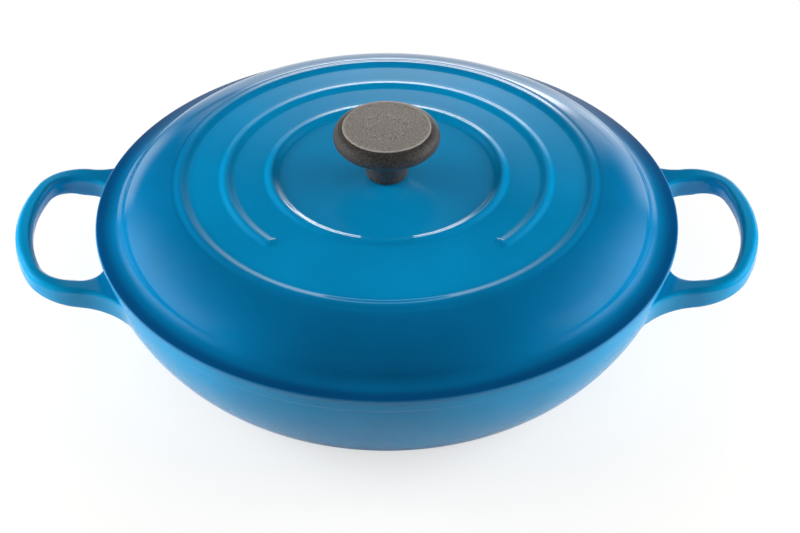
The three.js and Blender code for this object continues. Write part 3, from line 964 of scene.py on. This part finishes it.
@dataclass
class Lid:
    """The domed lid with its flange, raised rings, dish, knob seat, lip and lugs."""

    bowl: Bowl
    seat_gap: float = 0.3
    flange_radius: float = 155.5
    flange_edge: float = 2.8
    flange_round: float = 1.2
    flange_turn: float = 80.0
    flange_slope: float = 0.9
    flange_inner: float = 149.0
    cove_rise: float = 4.5
    cove_fall: float = 0.1
    cove_lead: float = 0.7
    dome_radius: float = 141.8
    dome_lead: float = 9.0
    dome_lean: float = 0.31
    shoulder_radius: float = 114.6
    shoulder_lift: float = 0.5
    shoulder_lead: float = 13.2
    shoulder_slope: float = 0.3
    inner_lead: float = 0.8
    crown_height: float = 33.1
    crown_radius: float = 1000.0
    crown_step: float = 4.0
    wall: float = 3.6
    lip_depth: float = 2.6
    lip_thickness: float = 4.0
    lip_clearance: float = 1.2
    lug_angles: tuple[float, ...] = (90.0, 210.0, 330.0)
    lug_depth: float = 3.0
    lug_width: float = 16.0
    lug_ramp: float = 2.5
    lug_flank: float = 0.25
    ring_radii: tuple[float, ...] = (108.8, 84.6, 60.5)
    ring_lean: float = 0.9
    ring_outer: float = 4.2
    ring_inner: float = 5.2
    ring_height: float = 1.15
    ring_gap: float = 0.8
    ring_points: int = 27
    step_guard: float = 0.05
    dish_depth: float = 0.8
    hole_radius: float = 3.6
    washer_seat: float = 9.2
    turn_steps: int = 384

    @property
    def base(self) -> float:
        """Height of the face that rests on the rim."""
        return self.bowl.height + self.seat_gap

    @property
    def dish(self) -> float:
        """Height of the flat dish that the knob stands on, above the lid's base."""
        return self.crown_height - self.ring_radii[-1] ** 2 / (2.0 * self.crown_radius) - self.dish_depth

    @property
    def underside(self) -> float:
        """Height of the face above the washer, above the lid's base."""
        return self.dish - self.wall

    @property
    def lip_radius(self) -> float:
        """Outer radius of the lip, clear of the bowl's mouth."""
        return self.bowl.wall_radius - self.bowl.wall - self.lip_clearance

    def ring(self, offset: Array) -> Array:
        """Height across a ring: a soft bead of two smooth steps, the outer one shorter and steeper.

        Args:
            offset: Distance from the ring's middle line.

        Returns:
            The ring's height as a share of its full height.
        """
        past = offset - self.ring_lean
        return 1.0 - smooth(np.where(past > 0.0, past / self.ring_outer, -past / self.ring_inner))

    def crown(self, radius: Array) -> Array:
        """Height of the top inside the shoulder: a shallow paraboloid with two whole rings and a flat dish.

        Args:
            radius: Distances from the axis.

        Returns:
            The height at each distance, above the lid's base.
        """
        outer, _, inner = self.ring_radii
        crown = self.crown_height - radius**2 / (2.0 * self.crown_radius)
        inside = np.where(radius < inner, 1.0 - self.ring(radius - inner), 0.0)
        height = crown + (self.dish - crown) * inside
        height = height + self.ring_height * (self.ring(radius - outer) + self.ring(radius - inner))
        return height + self.shoulder_lift * smooth((radius - outer) / (self.shoulder_radius - outer))

    def open_ring(self, grid: Array) -> Array:
        """Height of the middle ring on a grid of plan points.

        The ring's section follows an arc that is open towards -Y. Past an end, the offset is measured from
        the arc's end point, which gives the ring a round end.

        Args:
            grid: Array of angle by point by (x, y, z).

        Returns:
            The height to add at each point.
        """
        middle = self.ring_radii[1]
        radius = np.linalg.norm(grid[:, :, :2], axis=2)
        from_front = np.arctan2(grid[:, :, 0], -grid[:, :, 1])
        past = np.clip(self.ring_gap - np.abs(from_front), 0.0, None)
        across = np.maximum(radius * np.sin(np.minimum(past, math.pi / 2.0)), 0.0)
        offset = radius * np.cos(past) - middle
        return self.ring_height * self.ring(np.where(past > 0.0, np.hypot(across, offset), offset))

    def profile(self) -> tuple[Profile, Array, Array]:
        """The lid's outline, from the hole along the underside and back over the top.

        Returns:
            The profile, and for each point whether it lies on the lip's foot and on the crown.
        """
        outside, rim, inside = CastingZone
        lip, lip_round, drop = self.lip_radius, self.bowl.rim_round, self.lip_thickness
        foot = self.flange_edge + self.flange_slope + self.cove_rise
        shoulder = (self.shoulder_radius, float(self.crown(np.array([self.shoulder_radius]))[0]))
        slope = np.array([math.cos(self.shoulder_slope), -math.sin(self.shoulder_slope)]) * self.shoulder_lead
        lean = np.array([-math.sin(self.dome_lean), math.cos(self.dome_lean)])
        rise = lean * self.dome_lead
        inner_shoulder = (shoulder[0] - self.wall * self.shoulder_slope, shoulder[1] - self.wall)
        inner_foot = (self.dome_radius - self.wall, foot)
        lip_edge = (lip - self.lip_thickness, -self.lip_depth)
        washer = (self.washer_seat, self.underside)
        made = Profile()
        made.run(line((self.hole_radius, self.underside), washer, 3), inside)
        made.run(curve(washer, (inner_shoulder[0] / 3.0, 0.0), -slope, inner_shoulder, 22), inside)
        made.run(curve(inner_shoulder, slope * self.inner_lead, rise, inner_foot, 18), inside)
        made.run(curve(inner_foot, (0.0, -drop), (0.0, drop), lip_edge, 10), inside)
        lip_start = len(made.points) - 1
        made.run(line(lip_edge, (lip - lip_round, -self.lip_depth), 12), rim)
        lip_end = len(made.points)
        edge = self.flange_radius - self.flange_round
        made.run(arc((lip - lip_round, lip_round - self.lip_depth), lip_round, -90.0, 0.0, 5), rim)
        made.straight([(lip, lip_round - self.lip_depth), (lip, 0.0), (edge, 0.0)], (2, 3), rim)
        made.run(arc((edge, self.flange_round), self.flange_round, -90.0, 0.0, 6), outside)
        top_round = self.flange_edge - self.flange_round
        made.run(arc((edge, top_round), self.flange_round, 0.0, self.flange_turn, 7), outside)
        flange_end = (self.flange_inner, self.flange_edge + self.flange_slope)
        made.run(line(made.end, flange_end, 5), outside)
        fall = (-(self.flange_inner - self.dome_radius) / 2.0, self.cove_rise * self.cove_fall)
        dome_foot = (self.dome_radius, foot)
        made.run(curve(flange_end, fall, -lean * self.cove_rise * self.cove_lead, dome_foot, 12), outside)
        made.run(curve(dome_foot, rise, slope, shoulder, 32), outside)
        crown_start = len(made.points) - 1
        radii = self.ring_steps()
        made.run(np.column_stack([radii, self.crown(radii)]), outside)
        crown_end = len(made.points)
        made.run(line((self.hole_radius, self.dish), (self.hole_radius, self.underside), 3), inside)
        made.close()
        index = np.arange(len(made.points))
        return made, (index >= lip_start) & (index < lip_end), (index >= crown_start) & (index < crown_end)

    def ring_steps(self) -> Array:
        """Radii over the crown, crowded on the rings and sparse between them.

        Returns:
            Radii from the shoulder in to the hole.
        """
        reach = self.ring_outer + self.ring_lean
        stops = [self.shoulder_radius]
        for ring in self.ring_radii:
            first = min(ring + reach, self.shoulder_radius - self.step_guard)
            stops += np.linspace(first, ring - reach, self.ring_points).tolist()
        stops += [self.hole_radius]
        spans = zip(stops, stops[1:])
        parts = [np.linspace(a, b, 2 + int((a - b) / self.crown_step))[:-1] for a, b in spans]
        return np.concatenate([*parts, [self.hole_radius]])

    def build(self) -> None:
        """Builds, dresses and places the lid."""
        profile, on_lip, on_crown = self.profile()
        lugs = np.radians(self.lug_angles).tolist()
        angles = turn_angles(self.turn_steps, (*lugs, FRONT - self.ring_gap, FRONT + self.ring_gap))
        grid = profile.turned(angles, self.base)
        grid[:, on_crown, 2] += self.open_ring(grid[:, on_crown])
        grid[:, on_lip, 2] -= self.lug_drop(angles, np.count_nonzero(on_lip))
        skin = Skin.of_grid(grid, profile.zones, closed=True)
        materials = [LID_ENAMEL.material(), RIM_ENAMEL.material(), SAND_ENAMEL.material()]
        place_piece(skin, "lid_casting", materials, "lid", "lid")

    def lug_drop(self, angles: Array, across: int) -> Array:
        """How far the lip's foot is lowered by the lugs: a smooth bump along the turn and across the lip.

        Args:
            angles: Angles of the turn.
            across: Points across the lip's foot.

        Returns:
            Array of angle by point.
        """
        bump = np.zeros_like(angles)
        for centre in np.radians(self.lug_angles):
            away = np.abs((angles - centre + math.pi) % math.tau - math.pi) * self.lip_radius
            bump = np.maximum(bump, smooth((self.lug_width / 2.0 - away) / self.lug_ramp))
        share = np.linspace(0.0, 1.0, across)
        profile = smooth(share / self.lug_flank) * smooth((1.0 - share) / self.lug_flank)
        return self.lug_depth * bump[:, None] * profile


@dataclass
class Knob:
    """The moulded knob: tapered stem, mushroom head and a flat top inside a crisp raised edge."""

    lid: Lid
    height: float = 30.4
    radius: float = 28.2
    top_radius: float = 22.9
    bevel: float = 7.1
    crown: float = 0.4
    stem_radius: float = 11.0
    stem_taper: float = 0.9
    stem_height: float = 9.0
    recess_radius: float = 5.9
    recess_height: float = 16.6
    foot_round: float = 0.6
    bevel_share: float = 0.6
    bevel_lead: tuple[float, float] = (2.6, -0.6)
    edge_round: float = 0.5
    edge_fall: float = 0.3
    edge_lead: float = 0.3
    edge_width: float = 0.8
    edge_height: float = 0.2
    face_leads: tuple[float, float] = (6.0, 8.0)
    turn_steps: int = 120

    @property
    def base(self) -> float:
        """Height of the stem's foot."""
        return self.lid.base + self.lid.dish + self.lid.seat_gap

    def profile(self) -> Profile:
        """The knob's outline, from the recess out under the stem and over the head to the axis.

        Returns:
            The outline, with its finishes.
        """
        side, face, edge_highlight = KnobZone
        recess, deep, foot = self.recess_radius, self.recess_height, self.stem_radius - self.foot_round
        stem_top = (self.stem_radius + self.stem_taper, self.stem_height)
        equator = (self.radius, self.height - self.bevel)
        top, rise, lead = self.height - self.crown, self.edge_height, self.edge_lead
        bevel_end = (self.top_radius + self.edge_round, top - self.edge_fall)
        brow = (self.top_radius, top)
        dish = (self.top_radius - self.edge_width, top - rise)
        half = self.stem_height / 2.0
        made = Profile()
        made.straight([(0.0, deep), (recess, deep), (recess, 0.0), (foot, 0.0)], (3, 4, 3), side)
        made.run(arc((foot, self.foot_round), self.foot_round, -90.0, -10.0, 5), side)
        made.run(line(made.end, stem_top, 5), side)
        made.run(curve(stem_top, (self.stem_taper, half), (0.0, -half), equator, 28), side)
        made.run(curve(equator, (0.0, self.bevel * self.bevel_share), self.bevel_lead, bevel_end, 18), side)
        # The raised edge gets the pale tone, a painted highlight.
        made.run(curve(bevel_end, (-rise, rise), (lead, 0.0), brow, 5), edge_highlight)
        made.run(curve(brow, (-lead, 0.0), (lead, 0.0), dish, 6), edge_highlight)
        outer, inner = self.face_leads
        made.run(curve(dish, (-outer, 0.0), (inner, 0.0), (0.0, self.height), 14), face)
        return made

    def build(self) -> None:
        """Builds, dresses and places the knob."""
        profile = self.profile()
        skin = Skin.of_grid(profile.turned(turn_angles(self.turn_steps), self.base), profile.zones)
        # The three tones are painted light and shade on one phenolic: shade on the side, light on the top, a
        # highlight on the edge.
        materials = [PHENOLIC_SHADED_SIDE.material(), PHENOLIC_LIT_TOP.material(), PHENOLIC_EDGE_HIGHLIGHT.material()]
        place_piece(skin, "knob_moulding", materials, "lid", "knob")


@dataclass
class Fastening:
    """What holds the knob: a knurled brass insert, a pan-head screw and a washer."""

    lid: Lid
    knob: Knob
    insert_radius: float = 5.6
    insert_length: float = 16.0
    insert_chamfer: float = 0.6
    knurl_count: int = 36
    knurl_depth: float = 0.25
    screw_radius: float = 3.0
    screw_reach: float = 13.0
    screw_point: float = 0.8
    pitch: float = 1.0
    thread_depth: float = 0.5
    thread_steps: int = 160
    thread_start: float = 2.0
    thread_ramp: float = 6.0
    head_radius: float = 5.75
    head_height: float = 3.4
    head_lead: float = 0.75
    head_chamfer: float = 0.2
    head_steps: int = 44
    recess_reach: float = 3.1
    recess_half_width: float = 0.75
    recess_depth: float = 1.9
    recess_flank: float = 0.25
    recess_end: float = 0.6
    recess_taper: float = 0.25
    washer_radius: float = 7.2
    washer_thickness: float = 1.2
    washer_round: float = 0.25
    washer_steps: int = 72
    turn_steps: int = 144

    @property
    def washer_base(self) -> float:
        """Height of the washer's lower face."""
        return self.lid.base + self.lid.underside - self.lid.seat_gap - self.washer_thickness

    def build(self) -> None:
        """Builds, dresses and places the three pieces."""
        steel = STAINLESS.material()
        place_piece(self.insert(), "insert_sleeve", [BRASS.material()], "lid", "knob_insert")
        place_piece(self.screw(), "pan_head_screw", [steel], "lid", "knob_screw")
        place_piece(self.washer(), "flat_washer", [steel], "lid", "screw_washer")

    def insert(self) -> Skin:
        """The insert: a chamfered sleeve whose outside is cut into straight knurls by a cosine.

        Returns:
            The closed skin, in place.
        """
        radius, length, chamfer = self.insert_radius, self.insert_length, self.insert_chamfer
        bore, neck = self.screw_radius + self.lid.seat_gap, radius - chamfer
        end = length - chamfer
        made = Profile()
        made.straight([(bore, 0.0), (neck, 0.0), (radius, chamfer)], (2, 2))
        first = len(made.points)
        made.run(line((radius, chamfer), (radius, end), 6))
        last = len(made.points) - 1
        made.straight([(radius, end), (neck, length), (bore, length), (bore, 0.0)], (2, 2, 4))
        made.close()
        angles = turn_angles(self.turn_steps)
        grid = made.turned(angles, self.knob.base + self.lid.seat_gap)
        cut = self.knurl_depth * (0.5 - 0.5 * np.cos(self.knurl_count * angles))
        grid[:, first:last, :2] *= (1.0 - cut / radius)[:, None, None]
        return Skin.of_grid(grid, made.zones, closed=True)

    def screw(self) -> Skin:
        """The screw: a pan head with a cross recess under a threaded shank.

        The shank's radius is a triangle wave of the height less the turn, one pitch to a turn, which fades
        in and out over a few points at the shank's ends. The head's lower face is raised inside a cross of
        two bars, which gives the recess.

        Returns:
            The closed skin, in place.
        """
        radius, point, head, chamfer = self.screw_radius, self.screw_point, self.head_radius, self.head_chamfer
        shank = self.lid.wall + self.washer_thickness + 2.0 * self.lid.seat_gap + self.screw_reach
        half = self.head_height / 2.0
        rim = (head, -half)
        crest = (0.0, -self.head_height)
        made = Profile()
        made.run(curve(crest, (head * self.head_lead, 0.0), (0.0, -half), rim, self.head_steps))
        face = len(made.points)
        made.straight([rim, (head, -chamfer), (head - chamfer, 0.0), (radius, 0.0)], (3, 2, 3))
        first = len(made.points)
        made.run(line((radius, 0.0), (radius, shank - point), self.thread_steps))
        last = len(made.points)
        made.straight([(radius, shank - point), (radius - point, shank), (0.0, shank)], (3, 3))
        angles = turn_angles(self.turn_steps)
        grid = made.turned(angles, self.washer_base - self.lid.seat_gap)
        phase = made.points[first:last, 1] / self.pitch - angles[:, None] / math.tau
        depth = self.thread_depth * np.abs(2.0 * (phase % 1.0) - 1.0)
        fade = smooth((np.arange(last - first) - self.thread_start) / self.thread_ramp)
        grid[:, first:last, :2] *= (1.0 - depth * fade * fade[::-1] / radius)[:, :, None]
        flat = np.abs(grid[:, :face, :2])
        narrow, far = flat.min(axis=2), flat.max(axis=2)
        bars = smooth((self.recess_half_width - narrow) / self.recess_flank)
        cross = bars * smooth((self.recess_reach - far) / self.recess_end)
        grid[:, :face, 2] += self.recess_depth * cross * (1.0 - self.recess_taper * far / self.recess_reach)
        return Skin.of_grid(grid, made.zones)

    def washer(self) -> Skin:
        """The washer: a flat ring with rounded outer edges.

        Returns:
            The closed skin, in place.
        """
        edge, outer = self.washer_round, self.washer_radius - self.washer_round
        bore, top = self.lid.hole_radius, self.washer_thickness
        made = Profile()
        made.run(line((bore, 0.0), (outer, 0.0), 3))
        made.run(arc((outer, edge), edge, -90.0, 0.0, 4))
        made.run(line((self.washer_radius, edge), (self.washer_radius, top - edge), 2))
        made.run(arc((outer, top - edge), edge, 0.0, 90.0, 4))
        made.straight([(outer, top), (bore, top), (bore, 0.0)], (3, 3))
        made.close()
        grid = made.turned(turn_angles(self.washer_steps), self.washer_base)
        return Skin.of_grid(grid, made.zones, closed=True)


@dataclass(frozen=True)
class Field:
    """A soft white field low in the room, as the gloss mirrors it.

    Azimuth is in degrees from +Y towards +X. The field is full up to the first width and gone by the
    second, in degrees off its middle. It fades in over its foot and out over its top, in degrees above the
    horizon.
    """

    azimuth: float
    width: tuple[float, float]
    foot: tuple[float, float]
    top: tuple[float, float]
    radiance: float


@dataclass(frozen=True)
class Panel:
    """A large diffused lamp that lights the object without showing in its gloss.

    Azimuth is in degrees from +Y towards +X, and the distance is from the point that the camera aims at.
    """

    name: str
    azimuth: float
    elevation: float
    distance: float
    size: tuple[float, float]
    radiance: float
    colour: str = "#ffffff"


@dataclass
class Studio:
    """Pale floor, soft light and the camera."""

    elevation: float = 37.3
    distance: float = 1800.0
    aim: tuple[float, float, float] = (7.0, 0.0, 35.8)
    focal_pixels: float = 3328.6
    image_width: float = 800.0
    sensor: float = 36.0
    sight: float = 100000.0
    floor_half_width: float = 300.0
    floor_front: float = -420.0
    floor_back: float = 225.0
    floor_drop: float = 0.1
    floor_bounce: str = "#dadada"
    floor_paper: str = "#fef9f1"
    floor_white: float = 0.64
    room_level: float = 0.02
    fields: tuple[Field, ...] = (
        Field(2.5, (0.0, 16.0), (-6.0, -1.0), (20.0, 40.0), 1.15),
        Field(2.5, (7.0, 15.0), (1.0, 4.0), (7.0, 11.0), 7.0),
        Field(2.5, (15.0, 24.0), (2.0, 8.0), (15.0, 27.0), 0.75),
        Field(2.5, (12.0, 24.0), (-50.0, -35.0), (0.0, 4.0), 0.9),
        Field(26.0, (8.0, 18.0), (-16.0, -10.0), (0.0, 20.0), 0.95),
        Field(-30.0, (6.0, 13.0), (-14.0, -8.0), (0.0, 12.0), 0.95),
        Field(-74.0, (14.0, 40.0), (-6.0, -1.0), (14.0, 60.0), 0.7),
        Field(74.0, (14.0, 40.0), (-6.0, -1.0), (14.0, 60.0), 0.7),
    )
    panels: tuple[Panel, ...] = (
        Panel("left_key", -66.0, 22.0, 1200.0, (900.0, 450.0), 4.7),
        Panel("right_key", 66.0, 22.0, 1200.0, (900.0, 450.0), 4.7),
        Panel("left_side", -90.0, 25.0, 1200.0, (900.0, 450.0), 5.8),
        Panel("right_side", 90.0, 25.0, 1200.0, (900.0, 450.0), 5.8),
        Panel("left_low", -98.0, 8.0, 580.0, (560.0, 200.0), 7.8),
        Panel("right_low", 98.0, 8.0, 580.0, (560.0, 200.0), 7.8),
        Panel("front_fill", 180.0, 35.0, 2000.0, (2300.0, 1400.0), 0.86, "#d2e4fa"),
    )

    def hang(self, thing: bpy.types.Object, way: Vector, distance: float) -> None:
        """Puts a camera or a lamp at a distance from the aim, in a direction, looking back at the aim."""
        thing.location = (Vector(self.aim) + way * distance) * MM
        thing.rotation_euler = (-way).to_track_quat("-Z", "Y").to_euler()

    def camera(self) -> None:
        """The photograph's camera: level, looking along +Y and down at the object."""
        data = bpy.data.cameras.new("camera")
        data.sensor_width = self.sensor
        data.lens = self.focal_pixels / self.image_width * self.sensor
        data.clip_end = self.sight * MM
        camera = add_object("camera", data)
        tilt = math.radians(self.elevation)
        self.hang(camera, Vector((0.0, -math.cos(tilt), math.sin(tilt))), self.distance)
        bpy.context.scene.camera = camera

    def floor(self) -> None:
        """A sheet of pale paper. The camera sees it mixed with plain white, so its shadows stay soft."""
        half, front, back = self.floor_half_width, self.floor_front, self.floor_back
        plan = [(-half, front), (half, front), (half, back), (-half, back)]
        corners = np.array([(x, y, -self.floor_drop) for x, y in plan])
        mesh = bpy.data.meshes.new("floor")
        mesh.from_pydata((corners * MM).tolist(), [], [(0, 1, 2, 3)])
        material = bpy.data.materials.new("white_paper_sweep")
        mesh.materials.append(material)
        tree = empty_tree(material)
        seen = add_node(tree, "ShaderNodeLightPath").outputs["Is Camera Ray"]
        share = add_node(tree, "ShaderNodeMapRange", {0: seen, 4: self.floor_white})
        tones = {0: seen, 6: linear(self.floor_bounce), 7: linear(self.floor_paper)}
        tone = add_node(tree, "ShaderNodeMix", tones, data_type="RGBA")
        paper = add_node(tree, "ShaderNodeBsdfDiffuse", {"Color": tone.outputs[2]})
        white = add_node(tree, "ShaderNodeEmission", {"Color": WHITE, "Strength": 1.0})
        layers = {0: share.outputs[0], 1: paper.outputs[0], 2: white.outputs[0]}
        mixed = add_node(tree, "ShaderNodeMixShader", layers)
        add_node(tree, "ShaderNodeOutputMaterial", {"Surface": mixed.outputs[0]})
        floor = add_object("floor", mesh)

    def world(self) -> None:
        """A dim room with soft white fields low round the object, which the camera sees as white."""
        world = bpy.data.worlds.new("studio")
        bpy.context.scene.world = world
        tree = empty_tree(world)
        way = add_node(tree, "ShaderNodeTexCoord").outputs["Generated"]
        axes = add_node(tree, "ShaderNodeSeparateXYZ", {0: way}).outputs
        azimuth = add_node(tree, "ShaderNodeMath", {0: axes["X"], 1: axes["Y"]}, operation="ARCTAN2").outputs[0]
        lift = add_node(tree, "ShaderNodeMath", {0: axes["Z"]}, operation="ARCSINE").outputs[0]
        total: Socket | float = self.room_level
        for spec in self.fields:
            middle = {0: azimuth, 1: math.radians(spec.azimuth)}
            turn = add_node(tree, "ShaderNodeMath", middle, operation="SUBTRACT")
            away = add_node(tree, "ShaderNodeMath", {0: turn.outputs[0]}, operation="ABSOLUTE").outputs[0]
            ramps = (
                (away, spec.width, 1.0, 0.0),
                (lift, spec.foot, 0.0, 1.0),
                (lift, spec.top, spec.radiance, 0.0),
            )
            shares = []
            for angle, (start, end), first, last in ramps:
                reach = {0: angle, 1: math.radians(start), 2: math.radians(end), 3: first, 4: last}
                share = add_node(tree, "ShaderNodeMapRange", reach, interpolation_type="SMOOTHSTEP")
                shares.append(share.outputs[0])
            band = add_node(tree, "ShaderNodeMath", {0: shares[1], 1: shares[2]}, operation="MULTIPLY")
            sum_up = {0: shares[0], 1: band.outputs[0], 2: total}
            total = add_node(tree, "ShaderNodeMath", sum_up, operation="MULTIPLY_ADD").outputs[0]
        seen = add_node(tree, "ShaderNodeLightPath").outputs["Is Camera Ray"]
        level = add_node(tree, "ShaderNodeMix", {0: seen, 2: total, 3: 1.0})
        glow = add_node(tree, "ShaderNodeBackground", {"Color": WHITE, "Strength": level.outputs[0]})
        add_node(tree, "ShaderNodeOutputWorld", {"Surface": glow.outputs[0]})

    def panel(self, spec: Panel) -> None:
        """A rectangular soft light that points at the object.

        Args:
            spec: Where it hangs, its size and its brightness.
        """
        data = bpy.data.lights.new(spec.name, "AREA")
        data.shape = "RECTANGLE"
        wide, tall = spec.size
        data.size, data.size_y = wide * MM, tall * MM
        data.energy = spec.radiance * math.pi * wide * tall * MM * MM
        data.color = linear(spec.colour)[:3]
        turn, lift = math.radians(spec.azimuth), math.radians(spec.elevation)
        way = Vector((math.sin(turn) * math.cos(lift), math.cos(turn) * math.cos(lift), math.sin(lift)))
        lamp = add_object(spec.name, data)
        self.hang(lamp, way, spec.distance)
        lamp.visible_glossy = False

    def build(self) -> None:
        """Sets the stage, the lights, the camera and the view transform."""
        bpy.context.scene.view_settings.view_transform = "Standard"
        self.camera()
        self.floor()
        self.world()
        for spec in self.panels:
            self.panel(spec)


def main() -> None:
    """Builds every piece in order, then the studio."""
    logging.basicConfig(level=logging.INFO, format="%(name)s: %(message)s")
    pot = Pot()
    pot.build()
    lid = Lid(pot.bowl)
    lid.build()
    knob = Knob(lid)
    knob.build()
    Fastening(lid, knob).build()
    Studio().build()


if __name__ == "__main__":
    main()
